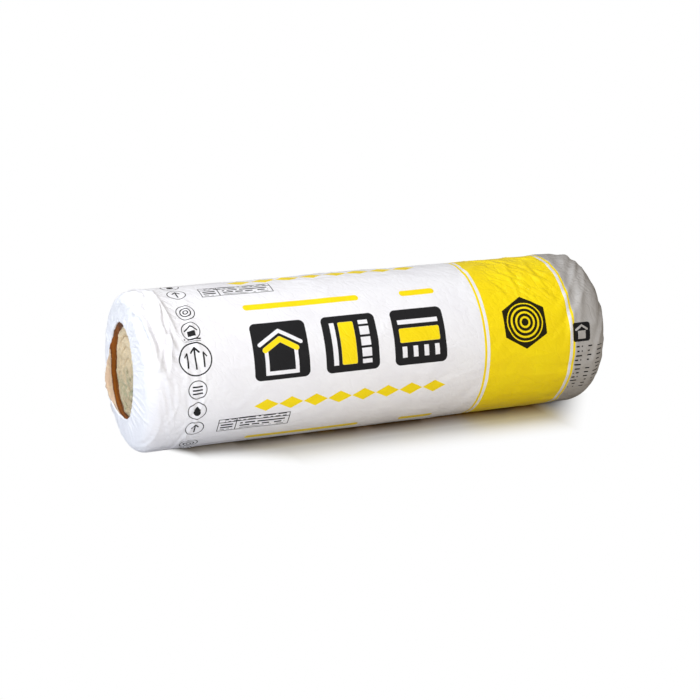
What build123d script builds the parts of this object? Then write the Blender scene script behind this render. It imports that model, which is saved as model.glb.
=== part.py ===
from build123d import *
from math import cos, radians, sin, tan
import os

# An insulation roll lying on its side: a blanket of glass wool, wound up without a core and held by a
# sleeve of plastic film whose ends are drawn in over the roll's shoulders. Millimetres, +Z up. The roll's
# axis runs along X, and the origin is on the floor below its middle.

# The film sleeve
film_length = 1196.0        # over the lips of its two openings
film_diameter = 375.0       # outside
film_thickness = 0.8        # a stand-in for about 0.1 mm, as thin as its mesh can be
opening_diameter = 226.0    # the hole left in the middle of each end
ring_slope = 10.0           # degrees by which the drawn-in end bulges out from flat
tight_shoulder = 32.0       # outer radius of the edge at the -X end
loose_shoulder = 48.0       # outer radius of the edge at the +X end
film_clearance = 0.3        # between the film and the wool

# The wound blanket
turn_pitch = 22.0           # thickness of one compressed turn
rim_width = 15.0            # the turn beside the lip, which swells out of the opening
rim_height = 6.0            # how far that turn stands out past the lip
face_depth = 17.0           # how far inside the lip the ends of the inner turns lie
groove_depth = 5.0          # from an inner turn's crest down to the groove beside it
eye_diameter = 16.0         # the closed-up centre of the winding
eye_depth = 20.0            # how deep the centre sinks in
eye_taper = 0.4             # the share of its width that the centre keeps at its bottom

film_radius = film_diameter / 2
opening_radius = opening_diameter / 2
lip = film_length / 2
wool_inset = film_thickness + film_clearance


def shoulder_and_ring(shoulder, inset, inner_radius):
    """Half the sleeve's outline, this far inside its outer face, from mid length to a radius at +X."""
    slope = radians(ring_slope)
    centre_r = film_radius - shoulder
    ring_run = (centre_r + shoulder * sin(slope) - opening_radius) * tan(slope)
    centre_x = lip - ring_run - shoulder * cos(slope)
    foot = Vector(centre_x + (shoulder - inset) * cos(slope), centre_r + (shoulder - inset) * sin(slope))
    inner = Vector(foot.X + (foot.Y - inner_radius) * tan(slope), inner_radius)
    Line((0, film_radius - inset), (centre_x, film_radius - inset))
    CenterArc((centre_x, centre_r), shoulder - inset, ring_slope, 90 - ring_slope)
    Line(foot, inner)
    return inner


def film_section(shoulder):
    """The thin section of the sleeve from the middle of the roll to its +X lip."""
    with BuildSketch(mode=Mode.PRIVATE) as section:
        for inset, mode in ((0, Mode.ADD), (film_thickness, Mode.SUBTRACT)):
            with BuildLine():
                inner = shoulder_and_ring(shoulder, inset, opening_radius)
                Line(inner, (0, opening_radius))
                Line((0, opening_radius), (0, film_radius - inset))
            make_face(mode=mode)
    return section.sketch


def wool_section(shoulder):
    """The section of the wound blanket from the middle of the roll to the turns that show at its +X end."""
    eye_radius = eye_diameter / 2
    mouth = opening_radius - film_clearance
    rim_foot = mouth - rim_width
    face = lip - face_depth
    turns = max(1, round((rim_foot - eye_radius) / turn_pitch))
    width = (rim_foot - eye_radius) / turns
    with BuildSketch(mode=Mode.PRIVATE) as section:
        with BuildLine():
            under_lip = shoulder_and_ring(shoulder, wool_inset, mouth)
            ThreePointArc(under_lip, (lip + rim_height, mouth - rim_width / 2), (face, rim_foot))
            for turn in range(turns):
                outer = rim_foot - turn * width
                Polyline(
                    (face, outer),
                    (face + groove_depth, outer - 0.3 * width),
                    (face + groove_depth, outer - 0.7 * width),
                    (face, outer - width),
                )
            Polyline(
                (face, eye_radius),
                (face - eye_depth, eye_radius * eye_taper),
                (face - eye_depth, 0),
                (0, 0),
            )
            Line((0, 0), (0, film_radius - wool_inset))
        make_face()
    return section.sketch


roll_axis = Axis((0, 0, film_radius), (1, 0, 0))
half_section = Plane(origin=(0, 0, film_radius), x_dir=(1, 0, 0), z_dir=(0, -1, 0))

with BuildPart() as film_wrap:
    with BuildSketch(half_section):
        add(film_section(loose_shoulder))
        add(mirror(film_section(tight_shoulder), about=Plane.YZ, mode=Mode.PRIVATE))
    revolve(axis=roll_axis)
film_wrap.part.label = "film_wrap"

with BuildPart() as wool_roll:
    with BuildSketch(half_section):
        add(wool_section(loose_shoulder))
        add(mirror(wool_section(tight_shoulder), about=Plane.YZ, mode=Mode.PRIVATE))
    revolve(axis=roll_axis)
wool_roll.part.label = "wool_roll"

os.makedirs("parts", exist_ok=True)
export_step(film_wrap.part, "parts/film_wrap.step")
export_step(wool_roll.part, "parts/wool_roll.step")
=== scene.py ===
# %% [markdown]
# # An insulation roll
# A blanket of glass wool, wound up and wrapped in printed plastic film, lies on its side. The solids of the
# film and of the wound wool come in as a fixed frame. This lesson dresses them: the film gets its folds,
# gathers and print, and the wool gets its real winding and its fibres. Everything is in metres.

# %% Load the frame
import math
import random
import bpy
import numpy as np
from mathutils import Matrix, Vector, noise


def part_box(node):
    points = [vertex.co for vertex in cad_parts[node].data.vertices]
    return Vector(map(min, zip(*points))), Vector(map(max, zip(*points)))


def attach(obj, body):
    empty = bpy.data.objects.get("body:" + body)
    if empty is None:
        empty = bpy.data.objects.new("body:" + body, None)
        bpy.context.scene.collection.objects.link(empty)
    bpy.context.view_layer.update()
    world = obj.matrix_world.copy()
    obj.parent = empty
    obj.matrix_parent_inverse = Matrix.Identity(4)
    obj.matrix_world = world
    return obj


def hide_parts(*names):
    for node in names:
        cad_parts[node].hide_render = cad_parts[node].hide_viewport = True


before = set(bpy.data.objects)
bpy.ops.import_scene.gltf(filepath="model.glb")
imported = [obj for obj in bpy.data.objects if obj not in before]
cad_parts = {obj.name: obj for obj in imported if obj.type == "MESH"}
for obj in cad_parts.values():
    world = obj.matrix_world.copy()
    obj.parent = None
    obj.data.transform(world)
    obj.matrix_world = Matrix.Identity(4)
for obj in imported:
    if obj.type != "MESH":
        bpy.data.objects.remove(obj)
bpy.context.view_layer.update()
film_low, film_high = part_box("film_wrap")
wool_low, wool_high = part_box("wool_roll")
print("nodes:", sorted(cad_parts))
print(f"wool solid: {wool_high[0] - wool_low[0]:.3f} m long")


def place_object(name, data):
    """Put a new object with this data into the scene."""
    made = bpy.data.objects.new(name, data)
    bpy.context.collection.objects.link(made)
    return made


# %% [markdown]
# ## Sizes
# The frame gives the film's length and diameter, so the pieces made here follow it. The other sizes are
# those of a roll seen from close by: how far the film is drawn in over the ends, how thick one wound turn
# is, and how much the roll flattens under its own weight. Angles round the roll start at the front, the
# side that faces -Y, and grow towards the top.

# %% Sizes
film_radius = (film_high[2] - film_low[2]) / 2
film_half = (film_high[0] - film_low[0]) / 2
axis_height = film_radius
shoulders = {-1: 0.032, 1: 0.048}      # the edge's radius at the -X and the +X end
opening_radius = 0.113                 # the mean radius of the opening in the film
opening_edge = ((0, 0.102), (25, 0.106), (45, 0.112), (70, 0.118), (100, 0.120), (126, 0.117), (150, 0.115),
                (170, 0.115), (185, 0.119), (200, 0.125), (222, 0.125), (240, 0.118), (257, 0.111),
                (280, 0.108), (300, 0.108), (320, 0.104), (340, 0.100))    # angle in degrees, then radius
opening_push = ((0, 0.001), (60, -0.004), (100, -0.006), (145, -0.007), (170, -0.002), (205, 0.002),
                (230, 0.002), (260, -0.002), (300, 0.0))    # how far the edge is pushed out of place
ring_slope = math.radians(10)          # how far the drawn-in film bulges from flat
flattening = 0.0015                    # how far the roll settles into its own contact strip
print(f"film: {2 * film_half:.3f} m long, {2 * film_radius:.3f} m across")

# %% [markdown]
# ## Camera
# The picture is 700 pixels square. A long lens looks slightly down on the roll, from beside its left end.
# The focal length is kept in pixels, because that is how it was measured, and is turned into millimetres on
# Blender's 36 mm sensor. The small shift puts the roll's middle where the picture has it.

# %% Camera
picture_px = 700
focal_px = 1700
azimuth = math.radians(-23.6)
elevation = math.radians(13.5)
camera_roll = math.radians(-0.25)
roll_width_px = 154.4                  # what the roll's diameter measures at its middle
middle_px = (360.0, 347.3)

camera_data = bpy.data.cameras.new("camera")
camera_data.sensor_width = 36
camera_data.lens = focal_px / picture_px * camera_data.sensor_width
camera_data.shift_x = (picture_px / 2 - middle_px[0]) / picture_px
camera_data.shift_y = (middle_px[1] - picture_px / 2) / picture_px
camera = place_object("camera", camera_data)

towards_camera = Vector((
    math.sin(azimuth) * math.cos(elevation),
    -math.cos(azimuth) * math.cos(elevation),
    math.sin(elevation),
))
distance = focal_px * 2 * film_radius / roll_width_px
facing = towards_camera.to_track_quat("Z", "Y").to_matrix().to_4x4()
spot = Matrix.Translation(Vector((0, 0, axis_height)) + towards_camera * distance)
camera.matrix_world = spot @ facing @ Matrix.Rotation(camera_roll, 4, "Z")
bpy.context.scene.camera = camera
bpy.context.scene.view_settings.view_transform = "Standard"
print(f"camera: {camera_data.lens:.1f} mm lens, {distance:.2f} m away")

# %% [markdown]
# ## Small helpers for shader nodes
# A material in Blender is a tree of nodes. Short helpers keep the trees readable: they add a node, do a sum,
# mix two colours, carry a value over to another range, or take a vector apart. A socket is fed either a
# plain value or the output of another node. All of them build in what is called `tree` at that moment.


# %% Node helpers
def feed(socket, value):
    """Put a plain value into a socket, or link another node's output to it."""
    if isinstance(value, bpy.types.NodeSocket):
        tree.links.new(value, socket)
    elif value is not None:
        socket.default_value = value


def add_node(kind, inputs=None, **settings):
    """Add a node, set its properties and fill its inputs, given by name or number."""
    node = tree.nodes.new(kind)
    for name, value in settings.items():
        setattr(node, name, value)
    for key, value in (inputs or {}).items():
        feed(node.inputs[key], value)
    return node


def calc(operation, *values, clamp=False):
    """One sum: the result of a Math node."""
    node = add_node("ShaderNodeMath", dict(enumerate(values)), operation=operation, use_clamp=clamp)
    return node.outputs[0]


def mix_colour(share, first, second):
    """The first colour where the share is 0 and the second where it is 1."""
    inputs = {"Factor": share, 6: first, 7: second}
    node = add_node("ShaderNodeMix", inputs, data_type="RGBA")
    return node.outputs[2]


def ramp(value, low, high, start=0.0, finish=1.0, soft=False):
    """A value carried over from one range to another. A soft ramp eases in and out."""
    inputs = {"Value": value, "From Min": low, "From Max": high, "To Min": start, "To Max": finish}
    kind = "SMOOTHSTEP" if soft else "LINEAR"
    return add_node("ShaderNodeMapRange", inputs, interpolation_type=kind).outputs[0]


def split(vector):
    """A vector's parts, as outputs that are named X, Y and Z."""
    return add_node("ShaderNodeSeparateXYZ", {0: vector}).outputs


def join(x, y, z=None):
    """A vector made of its parts."""
    return add_node("ShaderNodeCombineXYZ", {0: x, 1: y, 2: z}).outputs[0]


def noise_of(place, scale, detail, **more):
    """Smooth noise at a place. Its other inputs are given by name."""
    inputs = {"Vector": place, "Scale": scale, "Detail": detail, **more}
    return add_node("ShaderNodeTexNoise", inputs).outputs[0]


def stored(name, output):
    """What a mesh carries under this name at each of its points."""
    return add_node("ShaderNodeAttribute", attribute_name=name).outputs[output]


def new_group(name, inputs, outputs):
    """A node group with named sockets. Returns its tree, its input sockets and its output node."""
    group = bpy.data.node_groups.new(name, "ShaderNodeTree")
    for title, kind, start in inputs:
        socket = group.interface.new_socket(title, in_out="INPUT", socket_type=kind)
        if start is not None:
            socket.default_value = start
    for title, kind in outputs:
        group.interface.new_socket(title, in_out="OUTPUT", socket_type=kind)
    return group, group.nodes.new("NodeGroupInput").outputs, group.nodes.new("NodeGroupOutput")


def use_group(group, inputs):
    """Place a node group with its own values, and return its outputs."""
    node = tree.nodes.new("ShaderNodeGroup")
    node.node_tree = group
    for title, value in inputs.items():
        feed(node.inputs[title], value)
    return node.outputs


def new_material(name):
    """An empty material. Returns it, its tree and its output node."""
    material = bpy.data.materials.new(name)
    material.use_nodes = True
    material.node_tree.nodes.clear()
    output = material.node_tree.nodes.new("ShaderNodeOutputMaterial")
    return material, material.node_tree, output


def coat(mesh, material, output, inputs):
    """End a material in one Principled node with these inputs, and give it to a mesh."""
    surface = add_node("ShaderNodeBsdfPrincipled", inputs)
    tree.links.new(surface.outputs[0], output.inputs["Surface"])
    mesh.materials.append(material)


FLOAT, VECTOR = "NodeSocketFloat", "NodeSocketVector"

# %% [markdown]
# ## Floor
# The roll lies on a plain white floor that has no edge. Near the roll the floor is a pale, faintly glossy
# surface, so that it takes the soft shadow and a dim reflection. Close under the roll its colour for the
# camera is a painted shadow, dark and warm and browner towards the right, which also stands in for a painted
# reflection of the yellow print. Further out it turns into plain white for the camera, sooner at the left,
# where there is hardly any shadow.

# %% Floor
floor_size = 30.0
end_zone = 0.45                        # beyond this x, distance from the roll counts from its end too
fade_to_white = (0.12, 0.31)           # the distances between which the floor fades
painted_shadow_reach = (0.04, 0.13)          # the distances between which its painted warm shadow ends
floor_mesh = bpy.data.meshes.new("floor")
half_floor = floor_size / 2
corners = [(-half_floor, -half_floor, 0), (half_floor, -half_floor, 0),
           (half_floor, half_floor, 0), (-half_floor, half_floor, 0)]
floor_mesh.from_pydata(corners, [], [(0, 1, 2, 3)])
floor = place_object("floor", floor_mesh)

floor_material, tree, output = new_material("pale floor with painted shadow")
place = add_node("ShaderNodeNewGeometry").outputs["Position"]
folded = add_node("ShaderNodeVectorMath", {0: place}, operation="ABSOLUTE").outputs["Vector"]
folded_parts = split(folded)
past_end = calc("MAXIMUM", calc("SUBTRACT", folded_parts["X"], end_zone), 0.0)
away = calc("MULTIPLY_ADD", past_end, 1.5, folded_parts["Y"])
along = split(place)["X"]
sooner = ramp(along, -0.60, -0.25, 2.8, 1.0)
far_off = ramp(calc("MULTIPLY", away, sooner), *fade_to_white, soft=True)
seen = add_node("ShaderNodeLightPath").outputs["Is Camera Ray"]
# Painted shadow: close under the roll the camera sees a dark, warm floor colour, browner towards the right,
# where it also stands in for a painted reflection of the yellow print.
past_painted_shadow = ramp(away, *painted_shadow_reach)
warm_side = ramp(along, -0.42, -0.05)
painted_shadow_tint = mix_colour(warm_side, (0.42, 0.36, 0.28, 1), (0.20, 0.09, 0.004, 1))
seen_floor_with_painted_shadow = mix_colour(past_painted_shadow, painted_shadow_tint, (0.80, 0.79, 0.77, 1))
bounced = mix_colour(warm_side, (0.54, 0.54, 0.56, 1), (0.48, 0.43, 0.36, 1))
floor_colour = mix_colour(seen, bounced, seen_floor_with_painted_shadow)
surface = add_node("ShaderNodeBsdfPrincipled",
                   {"Base Color": floor_colour, "Roughness": 0.24, "Specular IOR Level": 0.3})
white = add_node("ShaderNodeEmission", {"Color": (1, 1, 1, 1), "Strength": 1.0})
blend = add_node("ShaderNodeMixShader", {0: calc("MULTIPLY", far_off, seen),
                 1: surface.outputs[0], 2: white.outputs[0]})
tree.links.new(blend.outputs[0], output.inputs["Surface"])
floor_mesh.materials.append(floor_material)

# %% [markdown]
# ## Light
# The camera sees a white world. What lights the roll from there is dimmer and warmer towards the right end.
# Three soft lamps add the rest: a key lamp in front, a low cool one behind the left end, and one above.

# %% World and lamps
world = bpy.data.worlds.new("studio")
bpy.context.scene.world = world
world.use_nodes = True
tree = world.node_tree
tree.nodes.clear()
direct = add_node("ShaderNodeLightPath").outputs["Is Camera Ray"]
direction = add_node("ShaderNodeTexCoord").outputs["Generated"]
warmth = ramp(split(direction)["X"], -0.7, 0.8, soft=True)
fill_strength = ramp(warmth, 0.0, 1.0, 0.88, 0.20)
fill_colour = mix_colour(warmth, (0.82, 0.90, 1.0, 1), (1.0, 0.86, 0.68, 1))
fill_light = add_node("ShaderNodeBackground", {"Color": fill_colour, "Strength": fill_strength})
backdrop = add_node("ShaderNodeBackground", {"Color": (1, 1, 1, 1), "Strength": 1.0})
sky = add_node("ShaderNodeMixShader", {0: direct, 1: fill_light.outputs[0], 2: backdrop.outputs[0]})
sky_output = add_node("ShaderNodeOutputWorld")
tree.links.new(sky.outputs[0], sky_output.inputs["Surface"])


def area_lamp(name, position, target, size, watts, colour):
    """A square soft lamp at a place, turned to face a target."""
    data = bpy.data.lights.new(name, "AREA")
    data.size = size
    data.energy = watts
    data.color = colour
    lamp = place_object(name, data)
    aim = Vector(target) - Vector(position)
    lamp.rotation_euler = aim.to_track_quat("-Z", "Y").to_euler()
    lamp.location = position


area_lamp("key_lamp", (-1.15, -3.60, 1.2), (-0.1, 0, 0.2), 1.4, 78, (1.0, 0.99, 0.96))
area_lamp("low_lamp", (-3.4, 0.4, 0.5), (-0.4, 0, 0.15), 1.2, 22, (0.80, 0.90, 1.0))
area_lamp("top_lamp", (-1.3, 0.2, 2.8), (-0.1, 0, 0.2), 2.0, 40, (1.0, 1.0, 1.0))
print("floor, world and three lamps made")

# %% [markdown]
# ## The film: its shape before any fold
# The film is a sheet that goes once round the roll and laps over itself at the back. Its ends stand past the
# wool and are drawn in over the edges, which leaves an opening at each end. A surface of revolution would
# be the quick way to make it, but the opening sits off the axis and the sheet overlaps, so the mesh is made
# as a grid: its rows follow the outline of the roll from lip to lip, and its columns go round.
# A row knows where it is on that outline: how far along it is, and how far it has been drawn in.


# %% The outline of the film
fine_rows = {-1: (0.42, 0.0026), 1: (0.30, 0.0042)}    # from where the rows lie close, and how close
coarse_step, shoulder_step, ring_step = 0.009, 0.0031, 0.003


def end_shape(end):
    """What shapes one end: the shoulder's radius and centre, the ring's foot, and how far it runs out."""
    shoulder = shoulders[end]
    centre_r = film_radius - shoulder
    foot_r = centre_r + shoulder * math.sin(ring_slope)
    ring_run = (foot_r - opening_radius) * math.tan(ring_slope)
    centre_x = film_half - ring_run - shoulder * math.cos(ring_slope)
    return shoulder, centre_x, centre_r, foot_r, ring_run


def film_rows():
    """The rows of the film from the -X lip to the +X lip, as (end, arc, x, radius, lean, pull).

    arc is the distance along the outline from mid length, lean is the angle of the surface's normal from
    the side's, and pull is -1 where the edge begins to round, 0 where it ends and 1 at the lip."""
    halves = {}
    turn = math.pi / 2 - ring_slope
    for end in shoulders:
        shoulder, centre_x, centre_r, foot_r, ring_run = end_shape(end)
        rows = []
        x = 0.0
        while x < centre_x - 0.003:
            rows.append((end, x, x, film_radius, 0.0, -1.0))
            fine_from, fine_step = fine_rows[end]
            x += fine_step if x > fine_from else coarse_step
        steps = round(shoulder * turn / shoulder_step)
        for step in range(steps + 1):
            lean = turn * step / steps
            rows.append((end, centre_x + shoulder * lean, centre_x + shoulder * math.sin(lean),
                         centre_r + shoulder * math.cos(lean), lean, step / steps - 1))
        ring = (foot_r - opening_radius) / math.cos(ring_slope)
        steps = round(ring / ring_step)
        for step in range(1, steps + 1):
            share = step / steps
            rows.append((end, centre_x + shoulder * turn + ring * share, film_half - ring_run * (1 - share),
                         foot_r + (opening_radius - foot_r) * share, turn, share))
        halves[end] = rows
    left = [(end, -arc, -x, r, lean, pull) for end, arc, x, r, lean, pull in reversed(halves[-1][1:])]
    return left + halves[1]


def read_table(table, angle):
    """A value at an angle, read from a table that goes once round."""
    places, values = zip(*table)
    return np.interp(np.degrees(angle), places, values, period=360)


def lip_radius(angle):
    """The opening's radius at an angle. It isn't round and sits a little off the axis, towards the back."""
    return read_table(opening_edge, angle)


def lip_push(angle):
    """How far the wool pushes the lip out past its mean place."""
    return read_table(opening_push, angle)


rows = film_rows()
print(f"film outline: {len(rows)} rows, {rows[-1][1] - rows[0][1]:.3f} m from lip to lip")

# %% [markdown]
# ## The film: folds
# A thin film can bend but hardly stretch, so every bit of slack turns into a fold. Three kinds show here:
# gathers, which run in towards the opening and grow on the way; slack folds, which lie round the roll just
# inside its edges; and fine creases from winding and handling. Each fold is a short bump with a sharp
# crest, and a field of them is added up into one height for each point of the grid. A cloth simulation
# could do this too, but a film this stiff needs very many points, and placed folds can follow the picture.


# %% Fields of folds
def smooth(low, high, value):
    """A soft step from 0 at low to 1 at high."""
    t = np.clip((value - low) / (high - low), 0, 1)
    return t * t * (3 - 2 * t)


def noise_at(points, size, offset):
    """Smooth noise from -1 to 1 at each point, with features of a given size."""
    scaled = np.asarray(points) / size + offset
    return np.array([noise.noise(p) for p in scaled.reshape(-1, 3)]).reshape(scaled.shape[:-1])


def fold(arc, round_way, where, lie, length, width, height, bend=0.0):
    """The height of one fold with a sharp crest, at a place on the sheet and at an angle to the axis."""
    dx = arc - where[0]
    da = (round_way - where[1] + girth / 2) % girth - girth / 2
    along = dx * math.cos(lie) + da * math.sin(lie)
    across = -dx * math.sin(lie) + da * math.cos(lie) + bend * along**2 / length
    crest = np.exp(-(np.abs(across) / width) ** 1.4)
    hollow = np.exp(-(((across - 1.9 * width) / (1.3 * width)) ** 2))
    ends = np.exp(-(np.abs(along) / length) ** 3)
    return height * ends * (crest - 0.75 * hollow)


def scatter_folds(arc, round_way, seed, count, arcs, rounds, lie, lie_spread, lengths, widths, heights):
    """Many folds at random places in one part of the sheet, with sizes and directions in given ranges."""
    dice = random.Random(seed)
    total = np.zeros_like(arc)
    for _ in range(count):
        where = (dice.uniform(*arcs), dice.uniform(*rounds))
        angle = math.radians(dice.gauss(lie, lie_spread))
        length, width = dice.uniform(*lengths), dice.uniform(*widths)
        height = dice.uniform(*heights)
        total += fold(arc, round_way, where, angle, length, width, height, dice.uniform(-0.3, 0.3))
    return total


girth = 2 * math.pi * film_radius
deepest_dip = 0.0040                   # so that no hollow meets the wool below

# %% [markdown]
# The numbers below say where the picture shows folds. Places are in metres: first along the outline from
# mid length, then round the roll from the front, upwards. Angles are in degrees from the roll's axis, so
# 90 is a fold that goes round the roll.


# %% Where the folds lie
def film_folds(arc, round_way):
    """The height of all creases and slack folds at each point of the sheet."""
    left, right = rows[0][1], rows[-1][1]
    # seed, count, places along and round, direction and its spread, lengths, widths, heights
    parts = (
        (3, 13, (-0.590, -0.518), (0.10, 0.22), 94, 4, (0.055, 0.090), (0.0055, 0.0078), (0.0062, 0.0098)),
        (13, 16, (-0.57, -0.45), (-0.06, 0.20), 93, 7, (0.04, 0.10), (0.0045, 0.0080), (0.0008, 0.0020)),
        (4, 34, (-0.57, -0.46), (0.32, girth), 90, 12, (0.03, 0.10), (0.0035, 0.006), (0.0008, 0.0024)),
        (5, 40, (0.47, 0.62), (0, girth), 32, 22, (0.04, 0.09), (0.0080, 0.0120), (0.0004, 0.0013)),
        (15, 12, (0.50, 0.58), (0.05, 0.30), 66, 8, (0.06, 0.11), (0.0060, 0.0085), (0.0014, 0.0028)),
        (6, 20, (0.30, 0.46), (0.12, 0.30), -55, 13, (0.020, 0.055), (0.0042, 0.0060), (0.0012, 0.0026)),
        (7, 36, (-0.22, 0.28), (0.22, 0.42), 12, 18, (0.018, 0.05), (0.0045, 0.0075), (0.0006, 0.0016)),
        (8, 120, (left, right), (0, girth), 15, 30, (0.03, 0.11), (0.006, 0.011), (0.0003, 0.0011)),
    )
    height = sum(scatter_folds(arc, round_way, *part) for part in parts)
    near_lip = smooth(0.03, 0.0, np.minimum(arc - left, right - arc))
    return np.maximum(height, -deepest_dip) * (1 - 0.7 * near_lip)


def gathers(end, angle, pull, seed, count=52):
    """The gathers of one drawn-in end: how far each point stands out, and how far it is pushed sideways."""
    dice = random.Random(seed)
    out = np.zeros_like(angle)
    aside = np.zeros_like(angle)
    for number in range(count):
        centre = 2 * math.pi * (number + dice.uniform(-0.35, 0.35)) / count
        wide = dice.uniform(0.30, 0.62) * 2 * math.pi / count
        tall = dice.uniform(0.0010, 0.0038) * (1.0 if end == -1 else 0.4)
        start = dice.uniform(-0.95, 0.1)
        twist = dice.gauss(0, 0.045)
        grown = smooth(start, 1.25, pull)
        off = (angle - centre - twist * pull + math.pi) % (2 * math.pi) - math.pi
        calmer = 1 - 0.65 * smooth(0.7, 1.0, pull)
        ridge = np.clip(1 - np.abs(off / wide), 0, 1) ** 1.3 * grown * tall * calmer
        out += ridge
        aside += dice.choice((-1, 1)) * dice.uniform(0.2, 0.9) * ridge
    return out, aside


def settle(points, above=0.0):
    """Lower the roll a little and flatten it where it would go through the floor."""
    z = points[..., 2] - flattening - above
    soft = 0.0006
    points[..., 2] = above + (z + np.sqrt(z * z + soft * soft)) / 2
    return points


# %% [markdown]
# ## The film: the mesh
# Now the grid is filled in. Each point starts on the plain outline, moves in or out along the surface by the
# height of the folds, and moves sideways in the gathers. The last rows curl the lip round, so that its edge
# doesn't look like cut paper. The sheet starts and ends at the back, low down: there its last columns lie a
# millimetre above its first ones, which is the lap that closes the sleeve.

# %% Film mesh
columns = 376
seam_angle = math.radians(-148)
lap = 0.050                            # how far the sheet overlaps itself
lap_angle = lap / film_radius
lap_rise = 0.0011


def grid_mesh(name, points, wrap=False):
    """A smooth mesh from a grid of points, as rows and columns. wrap joins the last row to the first."""
    high, wide = points.shape[:2]
    number = np.arange(high * wide).reshape(high, wide)
    if wrap:
        number = np.vstack([number, number[:1]])
    faces = np.stack([number[:-1, :-1], number[:-1, 1:], number[1:, 1:], number[1:, :-1]], -1)
    mesh = bpy.data.meshes.new(name)
    mesh.from_pydata(points.reshape(-1, 3).tolist(), [], faces.reshape(-1, 4).tolist())
    mesh.polygons.foreach_set("use_smooth", [True] * len(mesh.polygons))
    return mesh


def add_attribute(mesh, name, kind, values):
    """Store one value for each point of a mesh, for its material to read."""
    attribute = mesh.attributes.new(name, kind, "POINT")
    field = "vector" if kind == "FLOAT_VECTOR" else "value"
    attribute.data.foreach_set(field, np.asarray(values, dtype=np.float32).ravel())


def film_points():
    """All points of the film, with their places on the flat sheet."""
    end, arc, x, radius, lean, pull = (np.array(v, dtype=float)[:, None] for v in zip(*rows))
    share = np.linspace(0, 1, columns)[None, :]
    ragged = 0.006 * np.array([noise.noise((a * 9, 4.0, 0.0)) for a in arc[:, 0]])[:, None]
    angle = seam_angle + share * (2 * math.pi + lap_angle + ragged / film_radius)
    round_way = film_radius * angle
    end, arc, x, radius, lean, pull, angle, round_way = np.broadcast_arrays(
        end, arc, x, radius, lean, pull, angle, round_way)

    drawn = smooth(-0.2, 1.0, pull)
    radius = radius + drawn * (lip_radius(angle) - opening_radius)
    x = x + end * drawn * lip_push(angle)

    flat = np.stack([x, film_radius * np.cos(angle), film_radius * np.sin(angle)], -1)
    swell = 0.0016 * noise_at(flat, 0.21, 3.0) + 0.0009 * noise_at(flat, 0.075, 11.0)
    height = swell + film_folds(arc, round_way)
    aside = np.zeros_like(height)
    for side in (-1, 1):
        out, shift = gathers(side, angle, pull, seed=20 + side)
        height = height + np.where(end == side, out, 0)
        aside = aside + np.where(end == side, shift, 0)
    wavy_lip = 0.0013 * noise_at(flat, 0.03, 7.0) * smooth(0.4, 1.0, pull)
    radius = radius + wavy_lip

    over = 2 * math.pi + seam_angle
    lap_height = lap_rise * (1 - 0.6 * smooth(-0.9, -0.1, pull))
    height = height + lap_height * smooth(over - 0.12, over - 0.01, angle)
    lifted = smooth(over + 0.7 * lap_angle, over + lap_angle, angle)
    height = height + lap_height * lifted * (0.5 + noise_at(flat, 0.05, 17.0))

    normal_r, normal_x = np.cos(lean), end * np.sin(lean)
    r = radius + normal_r * height
    turned = angle + aside / np.maximum(radius, 0.05)
    points = np.stack([x + normal_x * height, -r * np.cos(turned), axis_height + r * np.sin(turned)], -1)
    left_end = smooth(0.40, 0.50, -arc) * (0.15 + 0.85 * smooth(-0.02, 0.12, round_way))
    at_ends = np.maximum(left_end, 0.25 * smooth(0.45, 0.54, arc))
    creased_top = smooth(0.24, 0.32, arc) * smooth(0.06, 0.14, round_way)
    creased_top = creased_top * (1 - smooth(0.34, 0.44, round_way))
    slack = np.maximum(0.38 + 0.62 * at_ends, 0.80 * creased_top)
    return points, arc, round_way, turned, slack


def curl_lip(points, turned, end_row, next_row, steps=(0.35, 0.8, 1.25, 1.7, 2.3), size=0.0022):
    """Rows that roll the lip's edge inwards, under the end of the film."""
    edge, inner = points[end_row], points[next_row]
    along = edge - inner
    along /= np.linalg.norm(along, axis=-1, keepdims=True)
    round_the_roll = np.stack([np.zeros_like(turned), np.sin(turned), np.cos(turned)], -1)
    inwards = np.cross(along, round_the_roll)
    inwards *= -np.sign(inwards[..., :1] * edge[..., :1])
    made = []
    for angle in steps:
        made.append(edge + size * (math.sin(angle) * along + (1 - math.cos(angle)) * inwards))
    return made


points, arc, round_way, turned, slack = film_points()
left_curl = curl_lip(points, turned[0], 0, 1)
right_curl = curl_lip(points, turned[-1], -1, -2)
points = np.concatenate([np.stack(left_curl[::-1]), points, np.stack(right_curl)])
curl_arc = 0.001 * np.arange(1, len(left_curl) + 1)[:, None]
arc = np.concatenate([arc[:1] - curl_arc[::-1], arc, arc[-1:] + curl_arc])
spare = len(left_curl)
round_way, slack = (np.concatenate([field[:1]] * spare + [field] + [field[-1:]] * spare)
                    for field in (round_way, slack))
points = settle(points)
film_mesh = grid_mesh("film_sheet", points)
add_attribute(film_mesh, "sheet_place", "FLOAT_VECTOR",
              np.stack([arc, round_way, np.zeros_like(arc)], -1))
add_attribute(film_mesh, "slack", "FLOAT", slack)
film = place_object("film_sheet", film_mesh)
print(f"film: {len(film_mesh.vertices)} points, {2 * len(film_mesh.polygons)} triangles")

# %% [markdown]
# ## The wool: one long blanket, wound up
# The turns at the ends of the roll are the edge of one blanket, so one spiral strip gives them truly: it
# starts at the centre and grows by one turn's thickness each time round. A set of rings would look alike
# from afar, but rings never lead into each other. A few turns near the opening are pushed out by the winding
# and stand past the film's lip, and the inner ones stay back. Under the film the wool ends just below it.

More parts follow.
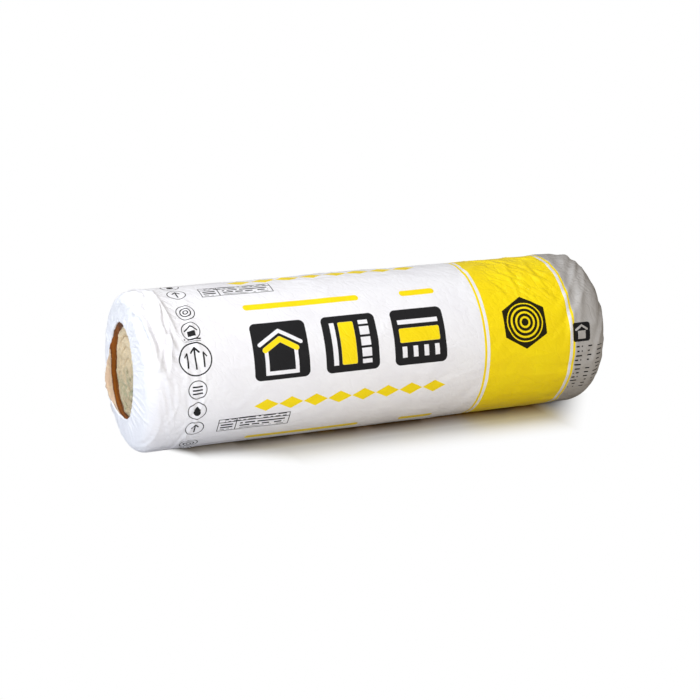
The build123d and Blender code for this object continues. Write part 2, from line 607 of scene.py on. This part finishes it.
# %% The winding
turn_pitch = 0.022                     # thickness of one compressed turn
first_turn = -0.36                     # it starts at the very middle of the roll
looseness = 0.009                      # how much wider than tight the roll has been wound after its start
last_turn = 6.88                       # where the blanket ends, in turns from the centre
gap = 0.0011                           # left open between two turns at their edges
crest_begins = (3.95, 4.12)            # in turns: where the turn that is pushed out at the -X end grows
crest_ends = (4.95, 5.1)               # in turns: where it dies away again
crest_foot = 0.5805                    # how far out it stands where it begins
below_film, hidden_below_film = 0.0042, 0.0028    # the wool's clearance, and more of it out of sight
reaches = {                            # how far out the edge stands at each end, along the winding
    -1: ((4.12, crest_foot), (4.22, 0.5905), (4.42, 0.5925), (4.50, 0.6025), (4.57, 0.6090), (4.66, 0.6065),
         (4.75, 0.6010), (4.83, 0.5980), (5.0, 0.595), (5.25, 0.591)),
    1: ((3.60, 0.5835), (3.78, 0.594), (3.95, 0.6005), (4.20, 0.6035), (4.50, 0.600), (4.80, 0.594),
        (5.2, 0.589)),
}


def turn_radius(turn):
    """The radius at the middle of the blanket's thickness, along the winding."""
    return turn_pitch * (turn + 0.5) + looseness * smooth(0.2, 2.0, turn)


def out_of_round(radius, angle):
    """How far a turn lies from its place in an even spiral, pressed as the roll is into three soft sides."""
    strength = smooth(0.04, 0.115, radius) * (1 - smooth(0.12, 0.165, radius))
    return 0.005 * strength * np.cos(3 * (angle - math.radians(108)))


def on_crest(end, turn):
    """1 along the turn that is pushed out at the -X end, and 0 everywhere else."""
    return (end == -1) * smooth(*crest_begins, turn) * (1 - smooth(*crest_ends, turn))


def flare(end, turn, angle, reach, side):
    """How far the inner wall of the pushed-out turn leans outwards, at the top of the -X end."""
    at_top = 0.5 + 0.5 * np.cos(angle - math.radians(112))
    rise = np.clip((reach - crest_foot) / 0.010, 0, 1)
    return 0.0095 * on_crest(end, turn) * at_top * rise * (1 - side) / 2


def falls_away(end, turn, angle):
    """Where the crest of the pushed-out turn drops behind its inner edge: at the top of the -X end."""
    return on_crest(end, turn) * np.clip(3 * np.cos(angle - math.radians(100)) - 0.3, 0, 1)


def bared_wall(end, turn, angle, side):
    """The depth that the crest shows at the top of the -X end, where it is the wall's own torn edge: there
    the crest takes the wall's painted shade colour.
    """
    off_top = np.abs((angle - math.radians(108) + math.pi) % (2 * math.pi) - math.pi)
    up_to = 1.3 - 2.5 * smooth(math.radians(22), math.radians(62), off_top)
    very_top = 1 - smooth(math.radians(6), math.radians(24), off_top)
    return on_crest(end, turn) * smooth(-0.3, 0.3, up_to - side) * (0.66 + 0.34 * very_top)


def wool_reach(end, turn):
    """How far out the blanket's edge stands along the winding."""
    places, values = zip(*reaches[end])
    return np.interp(turn, places, values)


def under_film(end, radius, angle):
    """The greatest reach of the wool at a radius, so that it stays below the film that covers it."""
    shoulder, centre_x, centre_r, foot_r, ring_run = end_shape(end)
    lip_r = lip_radius(angle)
    pull = np.clip((foot_r - radius) / (foot_r - lip_r), 0, 1)
    on_ring = film_half - ring_run * (1 - pull) + smooth(-0.2, 1.0, pull) * lip_push(angle)
    dip = np.clip(shoulder**2 - np.clip(radius - centre_r, 0, shoulder) ** 2, 0, None)
    on_shoulder = centre_x + np.sqrt(dip)
    film_x = np.where(radius > foot_r, on_shoulder, on_ring)
    hidden = smooth(0.0, 0.03, radius - lip_r)
    past_lip = 0.016 * smooth(0.001, 0.007, lip_r - radius)
    return film_x - below_film - hidden_below_film * hidden + past_lip


# %% [markdown]
# Each station along the spiral carries one closed outline: a rounded nose at either end of the roll, and the
# two long faces between them. Noise moves the noses in and out, in soft lumps and in finer tufts, because
# the saw that cuts the blanket to width leaves its fibres torn. The mesh is fine where it can be seen and
# coarse under the film. How deep a point lies and how far it is across the strip go with it as attributes.

# %% Wool mesh
nose_steps = np.array([-1.0, -0.93, -0.80, -0.62, -0.42, -0.21, 0.0, 0.21, 0.42, 0.62, 0.80, 0.93, 1.0])
wall_drops = np.array([0.005, 0.012, 0.024, 0.045])
nose_depth = 0.0045


def winding_stations():
    """Places along the winding, in turns: close together where they show, wide apart under the film."""
    stations = [first_turn]
    while stations[-1] < last_turn:
        radius = turn_radius(stations[-1])
        step = 0.0023 if radius < 0.137 else 0.010
        stations.append(stations[-1] + step / (2 * math.pi * radius))
    return np.array(stations)


def wool_points():
    """All points of the strip, with their depths below the crest and their places across the strip."""
    turn = winding_stations()[:, None]
    angle = 2 * math.pi * turn
    walls = np.ones(len(wall_drops))
    side = np.concatenate([-walls, nose_steps, walls])[None, :]
    drop = np.concatenate([wall_drops[::-1], np.zeros(len(nose_steps)), wall_drops])[None, :]
    loops, depths, across = [], [], []
    for end in (-1, 1):
        taper = 0.6 + 0.4 * smooth(first_turn, first_turn + 0.25, turn)
        taper = taper * (1 - 0.92 * smooth(last_turn - 0.15, last_turn, turn))
        inwards = (turn_radius(turn) - turn_radius(turn - 1) - gap) / 2
        outwards = (turn_radius(turn + 1) - turn_radius(turn) - gap) / 2
        radius = turn_radius(turn) + side * np.where(side > 0, outwards, inwards) * taper
        radius = radius + out_of_round(radius, angle)
        bulge = np.clip((wool_reach(end, turn) - 0.594) / 0.013, 0, 1) * (side < 0)
        nose = nose_depth + 0.0095 * bulge
        rounded = nose * (1 - np.sqrt(1 - np.minimum(np.abs(side), 0.999) ** 2.6))
        rounded = rounded + 0.008 * falls_away(end, turn, angle) * smooth(-0.95, -0.3, side)
        reach = wool_reach(end, turn) - rounded - drop
        radius = radius + flare(end, turn, angle, reach, side)
        spot = np.stack([np.broadcast_to(reach, radius.shape) * end, radius * np.cos(angle),
                         radius * np.sin(angle)], -1)
        lumps = 0.0026 * noise_at(spot, 0.026, 5.0) + 0.0017 * noise_at(spot, 0.009, 31.0)
        tufts = 0.0011 * noise_at(spot, 0.0042, 57.0)
        showing = np.exp(-drop / 0.02)
        reach = reach + (lumps + tufts) * showing
        radius = radius + 0.0007 * noise_at(spot, 0.012, 71.0) * showing
        crest = np.minimum(wool_reach(end, turn), reaches[end][0][1] + 0.0155)
        # The depth below the crest steers the wool's painted shade: orange on the walls, brown deeper down.
        depth = np.clip((crest - reach) / 0.014, 0, 1)
        pushed_from = reaches[end][0][0]
        depth = depth * (0.45 + 0.55 * smooth(pushed_from - 0.25, pushed_from, turn))
        depth = np.maximum(depth, bared_wall(end, turn, angle, side))
        reach = np.minimum(reach, under_film(end, radius, angle) - drop)
        order = slice(None, None, end)
        spot = np.stack([end * reach, -radius * np.cos(angle), axis_height + radius * np.sin(angle)], -1)
        loops.append(spot[:, order])
        depths.append((depth * np.ones_like(radius))[:, order])
        across.append((side * np.ones_like(radius))[:, order])
    return np.concatenate(loops, 1), np.concatenate(depths, 1), np.concatenate(across, 1), turn[:, 0]


wool_grid, depth, across, turns = wool_points()
wool_grid = settle(wool_grid, above=0.002)
wool_mesh = grid_mesh("wound_blanket", wool_grid.transpose(1, 0, 2), wrap=True)
long_way = np.broadcast_to(turns[:, None], depth.shape)
add_attribute(wool_mesh, "depth", "FLOAT", depth.T)
add_attribute(wool_mesh, "in_the_winding", "FLOAT_VECTOR",
              np.stack([long_way, across, wool_grid[..., 0]], -1).transpose(1, 0, 2))
wool = place_object("wound_blanket", wool_mesh)
print(f"wool: {len(turns)} stations, {2 * len(wool_mesh.polygons)} triangles, "
      f"reaches {wool_grid[..., 0].min():.4f} to {wool_grid[..., 0].max():.4f} m")

# %% [markdown]
# Torn fibres stand out of the ends here and there. They are thin tubes of three sides that start on the
# strip's nose and bend over. Hair curves would also do, but plain tubes travel to any other program.


# %% Loose fibres
def fibre_mesh(count, seed):
    """Short bent fibres that start on the visible edges of the blanket."""
    dice = random.Random(seed)
    shown = [i for i, t in enumerate(turns) if turn_radius(t) < 0.128]
    width = len(nose_steps) + 2 * len(wall_drops)
    vertices, faces = [], []
    rings = 5
    for number in range(count):
        half = number % 2
        end = -1 if half == 0 else 1
        station = dice.choice(shown)
        column = half * width + len(wall_drops) + dice.randrange(1, len(nose_steps) - 1)
        root = Vector(wool_grid[station, column])
        around = Vector((0, root.y, root.z - axis_height))
        angle = math.atan2(around.z, -around.y)
        if around.length > lip_radius(angle) - 0.004:
            continue
        lie = dice.uniform(0, 2 * math.pi)
        flat = Vector((0, math.cos(lie), math.sin(lie)))
        out = Vector((end, 0, 0))
        length = dice.uniform(0.006, 0.020)
        lift = dice.uniform(0.15, 0.5)
        curl = dice.uniform(-0.8, 0.8)
        thick = dice.uniform(0.00010, 0.00022)
        side = flat.cross(out)
        start = len(vertices)
        for ring in range(rings):
            t = ring / (rings - 1)
            centre = root - out * 0.002 + length * (
                flat * t + out * (lift * (t + 0.25) * (1.1 - 0.8 * t)) + side * (curl * t * t * 0.6))
            size = thick * (1 - 0.6 * t)
            for corner in range(3):
                turn = 2 * math.pi * corner / 3
                vertices.append(tuple(centre + size * (math.cos(turn) * side + math.sin(turn) * out)))
        for ring in range(rings - 1):
            for corner in range(3):
                a = start + 3 * ring + corner
                b = start + 3 * ring + (corner + 1) % 3
                faces.append((a, b, b + 3, a + 3))
    mesh = bpy.data.meshes.new("loose_fibres")
    mesh.from_pydata(vertices, [], faces)
    mesh.polygons.foreach_set("use_smooth", [True] * len(mesh.polygons))
    return mesh


fibres = place_object("loose_fibres", fibre_mesh(2600, seed=12))
print(f"fibres: {2 * len(fibres.data.polygons)} triangles")

# %% [markdown]
# ## The print: a few shapes to draw with
# The print is drawn by the material itself, so that its edges stay sharp from close by. All of it comes from
# two small shapes, made once as node groups: a bar with rounded corners and a ring. Each works out how far
# a place is from its edge, in millimetres, and turns that distance into a mask. A disc is a ring of no
# radius, and a stroke is a thin turned bar.

# %% Shape groups
edge_softness = 0.7                    # mm over which a printed edge fades


def vector_sum(operation, first, second=None):
    """One sum with vectors: the result of a Vector Math node."""
    node = add_node("ShaderNodeVectorMath", {0: first}, operation=operation)
    if second is not None:
        feed(node.inputs[1], second)
    return node.outputs["Value"] if operation == "LENGTH" else node.outputs["Vector"]


def inked(distance):
    """1 where the distance to a shape's edge is negative, and 0 outside, with a soft edge."""
    return calc("MULTIPLY_ADD", distance, -1 / edge_softness, 0.5, clamp=True)


bar_group, given, out = new_group(
    "printed bar",
    [("Place", VECTOR, None), ("Centre", VECTOR, None), ("Half Size", VECTOR, None), ("Turn", FLOAT, 0.0),
     ("Corner", FLOAT, 1.0)],
    [("Mask", FLOAT)])
tree = bar_group
offset = vector_sum("SUBTRACT", given["Place"], given["Centre"])
turned_place = add_node("ShaderNodeVectorRotate", {"Vector": offset, "Angle": given["Turn"]},
                        rotation_type="Z_AXIS").outputs[0]
folded = vector_sum("ABSOLUTE", turned_place)
beyond = vector_sum("MAXIMUM", vector_sum("SUBTRACT", folded, given["Half Size"]),
                    (0, 0, 0))
distance_out = calc("SUBTRACT", vector_sum("LENGTH", beyond), given["Corner"])
feed(out.inputs["Mask"], inked(distance_out))

ring_group, given, out = new_group(
    "printed ring",
    [("Place", VECTOR, None), ("Centre", VECTOR, None), ("Radius", FLOAT, 0.0), ("Half Width", FLOAT, 1.0)],
    [("Mask", FLOAT)])
tree = ring_group
offset = vector_sum("SUBTRACT", given["Place"], given["Centre"])
from_circle = calc("SUBTRACT", vector_sum("LENGTH", offset), given["Radius"])
from_line = calc("ABSOLUTE", from_circle)
feed(out.inputs["Mask"], inked(calc("SUBTRACT", from_line, given["Half Width"])))


def bar(place, centre, size, turn=0.0, corner=1.0):
    """A bar of a given full size, in millimetres. turn is in degrees, anticlockwise."""
    half = (size[0] / 2 - corner, size[1] / 2 - corner, 0)
    return use_group(bar_group, {"Place": place, "Centre": (*centre, 0), "Half Size": half,
                                       "Turn": -math.radians(turn), "Corner": corner})[0]


def stroke(place, start, finish, width):
    """A straight stroke with round ends, from one point to another."""
    run, rise = finish[0] - start[0], finish[1] - start[1]
    middle = ((start[0] + finish[0]) / 2, (start[1] + finish[1]) / 2)
    size = (math.hypot(run, rise) + width, width)
    return bar(place, middle, size, math.degrees(math.atan2(rise, run)), width / 2)


def ring(place, centre, radius, width):
    """A ring with a line of a given width round a circle."""
    return use_group(ring_group, {"Place": place, "Centre": (*centre, 0), "Radius": radius,
                                        "Half Width": width / 2})[0]


def disc(place, centre, radius):
    """A filled circle."""
    return ring(place, centre, 0.0, 2 * radius)


def any_of(masks):
    """The union of several masks."""
    total = masks[0]
    for mask in masks[1:]:
        total = calc("MAXIMUM", total, mask)
    return total


def mirrored(place, centre_x):
    """A place folded about an upright line, so that what is drawn on its right shows on its left too."""
    parts = split(place)
    return join(calc("ABSOLUTE", calc("SUBTRACT", parts["X"], centre_x)), parts["Y"])


def repeated(place, start, pitch, axis):
    """A place folded into one cell of a row of equal cells, counted from its middle."""
    parts = split(place)
    cell = calc("WRAP", calc("SUBTRACT", parts[axis], start), pitch / 2, -pitch / 2)
    return join(cell, parts["Y"]) if axis == "X" else join(parts["X"], cell)


# %% [markdown]
# ## The print: its layout
# The design is a generic one for a building blanket: a broad yellow band near one end, three large dark
# panels with pictures of a roof, a wall and a floor, a stripe and a row of lozenges, a badge, a column of
# small signs and two tables of plain bars. It repeats round the roll every 360 mm. Places are in
# millimetres: along the roll from mid length, and round it from the front, upwards.

# %% Print group
repeat = 360.0
print_top = 210.0                      # where the design's upper edge lies, round the roll
panel_size = 134.0
panel_height = 63.0                    # where the panels' middles lie, round the roll
panel_places = (-272.0, -98.0, 76.0)
sign_column = -475.0

print_group, given, out = new_group("film print", [("Place", VECTOR, None)],
                                    [("Black", FLOAT), ("Yellow", FLOAT)])
tree = print_group
place = given["Place"]

panels = [bar(place, (x, panel_height), (panel_size, panel_size), corner=14) for x in panel_places]

roof_x, wall_x, floor_x = panel_places
roof_side = mirrored(place, roof_x)
roof_white = [
    stroke(roof_side, (0, 108), (50, 78), 9),
    bar(roof_side, (36, 38), (9, 62)),
    bar(roof_side, (0, 11.5), (81, 9)),
]
roof_yellow = [stroke(roof_side, (0, 88), (38, 65), 13)]
wall_white = [
    bar(place, (wall_x - 42, 63), (12, 100)),
    bar(repeated(place, 63 - 51, 25.5, "Y"), (wall_x + 36, 0), (24, 20)),
]
wall_yellow = [bar(place, (wall_x - 8, 63), (38, 100), corner=4)]
wall_frame = bar(place, (wall_x, 63), (110, 102))
floor_white = [
    bar(place, (floor_x, 98), (104, 11)),
    bar(repeated(place, floor_x - 42, 28, "X"), (0, 27), (12, 26)),
]
floor_yellow = [bar(place, (floor_x, 66), (104, 34), corner=4)]
floor_frame = bar(place, (floor_x, 63), (102, 110))

badge_centre = (358.0, 68.0)
badge_side = mirrored(place, badge_centre[0])
badge_middle = (0, badge_centre[1])
badge = bar(badge_side, badge_middle, (113, 140), corner=2)
for turn in (-30, 30):
    badge = calc("MINIMUM", badge, bar(badge_side, badge_middle, (200, 113), turn, corner=2))
badge_rings = any_of([ring(place, badge_centre, r, 5) for r in (12, 24, 36)])
badge_edge = ring(place, badge_centre, 47, 3)

mark_centre = (510.0, 30.0)
mark_side = mirrored(place, mark_centre[0])
mark = bar(place, mark_centre, (47, 47), corner=6)
mark_white = [
    stroke(mark_side, (0, 46), (15, 36), 5),
    bar(mark_side, (0, 23), (22, 20)),
]

on_panels = any_of(roof_white + floor_white[:1] + [
    wall_white[0], calc("MINIMUM", wall_white[1], wall_frame),
    calc("MINIMUM", floor_white[1], floor_frame)])
white_marks = any_of([on_panels, badge_rings] + mark_white)
yellow_marks = any_of(roof_yellow + wall_yellow + floor_yellow + [badge_edge])
solid = any_of(panels + [badge, mark])
uncovered = calc("SUBTRACT", 1.0, calc("MAXIMUM", white_marks, yellow_marks))
solid_ink = calc("MULTIPLY", solid, uncovered)

# %% [markdown]
# The small signs are black line drawings, and the tables are made of plain bars that stand for fine print.
# The rows of bars are one bar, folded over and over, with its length changed from row to row by a noise.

# %% Signs, tables and yellow ink
sign_rings = [ring(place, (sign_column, a), 21, 2.2) for a in (128, 178, -8, -60, -112)]
sign_rings.append(ring(place, (sign_column, 62), 37, 3.2))
side = mirrored(place, sign_column)
signs = [
    stroke(side, (0, 86), (0, 40), 4), stroke(side, (0, 88), (9, 77), 4),
    stroke(side, (19, 74), (19, 44), 4), stroke(side, (19, 76), (26, 67), 3),
    stroke(side, (0, 140), (14, 129), 3.4), bar(side, (0, 121), (17, 13)),
    ring(place, (sign_column, 178), 5, 3), ring(place, (sign_column, 178), 12, 3),
    bar(repeated(side, -17, 8, "Y"), (0, 0), (24, 3.6)),
    disc(place, (sign_column, -64), 8), bar(side, (0, -56.5), (11, 11), turn=45),
    stroke(side, (0, -100), (0, -124), 3.4), stroke(side, (0, -100), (8, -108), 3.4),
]
signs[8] = calc("MINIMUM", signs[8], bar(side, (0, -8), (30, 22)))

table_middle = (-333, -114)
table_frame = bar(place, table_middle, (174, 42))
table_hole = bar(place, table_middle, (170, 38))
table_lines = any_of([bar(place, (-376, -114), (2.2, 40)),
                            bar(place, (-333, -104), (172, 2.2))])
frame_line = calc("MULTIPLY", table_frame, calc("SUBTRACT", 1.0, table_hole))


def fine_print(place, middle, size, pitch, line, seed):
    """Rows of plain bars of uneven length inside a rectangle, in place of small lettering."""
    parts = split(place)
    row = calc("FLOOR", calc("DIVIDE", parts["Y"], pitch))
    column = calc("FLOOR", calc("DIVIDE", parts["X"], 6.0))
    cell = join(column, row, float(seed))
    chance = add_node("ShaderNodeTexWhiteNoise", {"Vector": cell}, noise_dimensions="3D").outputs[0]
    words = calc("GREATER_THAN", chance, 0.24)
    rows_of_bars = bar(repeated(place, pitch / 2, pitch, "Y"), (middle[0], 0),
                       (size[0], line), corner=0.8)
    inside = bar(place, middle, size)
    return calc("MULTIPLY", calc("MULTIPLY", rows_of_bars, inside), words)


small = [
    fine_print(place, (-330, -98.5), (150, 9), 9, 5.5, 1),
    fine_print(place, (-398, -120), (30, 20), 9, 4.5, 2),
    fine_print(place, (-312, -120), (110, 20), 9, 4.5, 3),
    fine_print(place, (504, -70), (18, 132), 12, 4.0, 4),
    fine_print(place, (534, -66), (12, 124), 12, 3.6, 7),
    fine_print(place, (562, -60), (18, 110), 12, 3.2, 5),
    fine_print(place, (sign_column, 106), (40, 7), 7, 4.5, 6),
]
black_ink = any_of([solid_ink, frame_line, table_lines] + sign_rings + signs + small)

row_of_lozenges = repeated(place, -309, 60.4, "X")
lozenge_side = vector_sum("ABSOLUTE", vector_sum("SUBTRACT", row_of_lozenges, (0, -66, 0)))
lozenge_parts = split(lozenge_side)
slant = calc("ADD", calc("MULTIPLY", lozenge_parts["X"], 0.55), lozenge_parts["Y"])
lozenges = inked(calc("SUBTRACT", slant, 16.5))
lozenges = calc("MULTIPLY", lozenges, bar(place, (-97.5, -66), (483, 40)))
band = bar(place, (368, 0), (220, 800))
fine_lines = any_of([bar(place, (x, 0), (6, 800)) for x in (247, 489)])
stripes = [bar(place, (x, 176), (long, 17), corner=8.4) for x, long in ((-196, 286), (98, 90))]
yellow_ink = any_of([yellow_marks, lozenges, band, fine_lines] + stripes)
feed(out.inputs["Black"], black_ink)
feed(out.inputs["Yellow"], yellow_ink)
print(f"print: {len(tree.nodes)} nodes")

# %% [markdown]
# ## Finishes: the film
# The film is white polyethylene, printed on its outside. It shines a little, and its gloss breaks up on
# fine wrinkles that are too small for the mesh. Those come from a height made of ridged noise: two sets of
# thin creases that cross each other, on top of a soft unevenness. The group gives only the height, and the
# Bump node that reads it stays in the material, beside the Principled node.

# %% Film crinkle group
crinkle_group, given, out = new_group("film crinkle", [("Place", VECTOR, None), ("Fineness", FLOAT, 1.0)],
                                      [("Height", FLOAT)])
tree = crinkle_group
scaled = add_node("ShaderNodeVectorMath", {0: given["Place"], "Scale": given["Fineness"]},
                  operation="SCALE").outputs["Vector"]
heights = []
crease_sets = ((0.25, (0.5, 1.0, 1.0), 0.034, 0.55), (-0.6, (1.0, 0.45, 1.0), 0.052, 0.50),
               (1.3, (0.6, 1.0, 1.0), 0.080, 0.16))    # turn, stretch, scale and strength
for turn, stretch, size, strength in crease_sets:
    aimed = add_node("ShaderNodeVectorRotate", {"Vector": scaled, "Angle": turn},
                     rotation_type="Z_AXIS").outputs[0]
    long_way = vector_sum("MULTIPLY", aimed, stretch)
    waves = noise_of(long_way, size, 1.0, Roughness=0.4, Distortion=0.5)
    line = calc("ABSOLUTE", calc("SUBTRACT", waves, 0.5))
    crease = calc("SUBTRACT", 1.0, calc("MULTIPLY", line, 9.0), clamp=True)
    heights.append(calc("MULTIPLY", calc("POWER", crease, 1.6), strength))
swell = noise_of(scaled, 0.020, 2.0)
total = calc("ADD", calc("ADD", heights[0], heights[1]), calc("ADD", heights[2], swell))
feed(out.inputs["Height"], total)

# %% Film material
film_white = (0.87, 0.865, 0.895, 1)
film_yellow = (0.95, 0.74, 0.004, 1)
film_black = (0.006, 0.006, 0.007, 1)
bare_film = (0.41, 0.39, 0.375, 1)    # beyond the band the film is unprinted, and the wool dulls it

film_material, tree, output = new_material("printed film")
in_mm = vector_sum("MULTIPLY", stored("sheet_place", "Vector"), (1000, 1000, 0))
parts = split(in_mm)
wrapped = calc("WRAP", parts["Y"], print_top, print_top - repeat)
inks = use_group(print_group, {"Place": join(parts["X"], wrapped)})

tone = ramp(noise_of(in_mm, 0.012, 3.0), 0.3, 0.7)
white = mix_colour(tone, film_white, (0.82, 0.81, 0.85, 1))
white = mix_colour(ramp(parts["X"], 476.0, 500.0, soft=True), white, bare_film)
yellow = mix_colour(tone, film_yellow, (0.90, 0.67, 0.004, 1))
colour = mix_colour(inks["Yellow"], white, yellow)
past_band = calc("GREATER_THAN", parts["X"], 485.0)
over_top = calc("GREATER_THAN", parts["Y"], print_top + 2)
once = calc("SUBTRACT", 0.985, calc("MINIMUM", past_band, over_top), clamp=True)
colour = mix_colour(calc("MULTIPLY", inks["Black"], once), colour, film_black)
crinkles = use_group(crinkle_group, {"Place": in_mm, "Fineness": 1.0})[0]
height = calc("MULTIPLY", crinkles, stored("slack", "Fac"))
bumped = add_node("ShaderNodeBump", {"Strength": 1.0, "Distance": 0.0016, "Height": height}).outputs[0]
gloss = calc("MULTIPLY_ADD", inks["Black"], -0.27, 0.32)
coat(film_mesh, film_material, output, {
    "Base Color": colour, "Roughness": 0.34, "IOR": 1.5, "Specular IOR Level": gloss, "Normal": bumped})
print("film material made")

# %% [markdown]
# ## Finishes: the wool
# Glass wool is straw-coloured where the light reaches it, and its hollows look deep orange-brown, where
# light has passed between many coated fibres. Here that shade is painted into the colour, following the
# depth that
# the mesh carries: straw on the crests, painted orange shade on the walls, painted brown shade at the bottom
# of the grooves. The turn that is pushed out is rosier, and what lies low is darker and duller, with
# greenish patches. Pale spots break the colour, and fine streaks run along the winding, as the fibres do.

# %% Wool colour and painted shade group
wool_group, given, out = new_group(
    "wool colour and painted shade",
    [("Spot", VECTOR, None), ("Winding", VECTOR, None), ("Depth", FLOAT, 0.0)],
    [("Color", "NodeSocketColor"), ("Height", FLOAT)])
tree = wool_group
straw, dull_straw, peach = (0.84, 0.67, 0.43, 1), (0.56, 0.45, 0.28, 1), (0.69, 0.50, 0.36, 1)
pale, green = (0.80, 0.67, 0.47, 1), (0.40, 0.39, 0.24, 1)
# Painted shade: orange for the walls of the grooves, brown for their bottoms.
painted_wall_shade_orange, painted_deep_shade_brown = (0.26, 0.072, 0.001, 1), (0.09, 0.024, 0.001, 1)
spot, winding = given["Spot"], given["Winding"]
patchy = ramp(noise_of(spot, 42.0, 4.0, Roughness=0.62), 0.44, 0.62, soft=True)
spotty = ramp(noise_of(spot, 88.0, 3.0, Roughness=0.6), 0.50, 0.66, soft=True)
stretched = vector_sum("MULTIPLY", winding, (60, 9, 800))
streaks = noise_of(stretched, 0.5, 4.0, Roughness=0.7)
fuzz = noise_of(spot, 520.0, 3.0, Roughness=0.75)
low_down = ramp(split(spot)["Z"], 0.235, 0.145)
inner = ramp(split(winding)["X"], 4.3, 3.9)
base = mix_colour(low_down, straw, dull_straw)
base = mix_colour(calc("MULTIPLY", patchy, low_down), base, green)
base = mix_colour(inner, peach, base)
base = mix_colour(calc("MULTIPLY", spotty, 0.5), base, pale)
ragged = calc("ADD", given["Depth"], calc("MULTIPLY", calc("SUBTRACT", fuzz, 0.5), 0.35))
ragged = calc("ADD", ragged, calc("MULTIPLY", calc("SUBTRACT", streaks, 0.5), 0.6))
# As the depth grows the colour turns into painted shade: orange on the walls, browner just past the crest's
# edge, and deep brown at the bottoms of the grooves.
into_painted_wall_shade = ramp(ragged, 0.28, 0.44, soft=True)
into_painted_deep_shade = ramp(ragged, 0.80, 1.10, soft=True)
past_edge = ramp(ragged, 0.44, 0.66, 1.0, 0.0, soft=True)
painted_wall_shade = mix_colour(calc("MULTIPLY", past_edge, 0.8), painted_wall_shade_orange, painted_deep_shade_brown)
base = mix_colour(into_painted_wall_shade, base, painted_wall_shade)
base = mix_colour(calc("MULTIPLY", into_painted_deep_shade, 0.85), base, painted_deep_shade_brown)
streaky = ramp(streaks, 0.3, 0.7, 0.74, 1.16)
shaded = add_node("ShaderNodeMix", {"Factor": 1.0, 6: base, 7: join(streaky, streaky, streaky)},
                  data_type="RGBA", blend_type="MULTIPLY")
feed(out.inputs["Color"], shaded.outputs[2])
rough_height = calc("ADD", calc("MULTIPLY", fuzz, 0.7), calc("MULTIPLY", streaks, 0.6))
feed(out.inputs["Height"], rough_height)

# %% Wool material
wool_material, tree, output = new_material("glass wool")
look = use_group(wool_group, {
    "Spot": add_node("ShaderNodeTexCoord").outputs["Object"],
    "Winding": stored("in_the_winding", "Vector"), "Depth": stored("depth", "Fac")})
bumped = add_node("ShaderNodeBump",
                  {"Strength": 0.8, "Distance": 0.0022, "Height": look["Height"]}).outputs[0]
coat(wool_mesh, wool_material, output, {
    "Base Color": look["Color"], "Roughness": 0.93, "Specular IOR Level": 0.15, "Sheen Weight": 0.10,
    "Sheen Roughness": 0.6, "Normal": bumped})

fibre_material, tree, output = new_material("loose fibres")
coat(fibres.data, fibre_material, output, {"Base Color": (0.64, 0.48, 0.30, 1), "Roughness": 0.7})
print("wool materials made")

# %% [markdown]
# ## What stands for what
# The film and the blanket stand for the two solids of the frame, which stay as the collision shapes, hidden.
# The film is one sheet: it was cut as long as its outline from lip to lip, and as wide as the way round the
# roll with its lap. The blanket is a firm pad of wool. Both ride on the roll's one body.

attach(film, "root")
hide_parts("film_wrap")
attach(wool, "root")
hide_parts("wool_roll")
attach(fibres, "root")
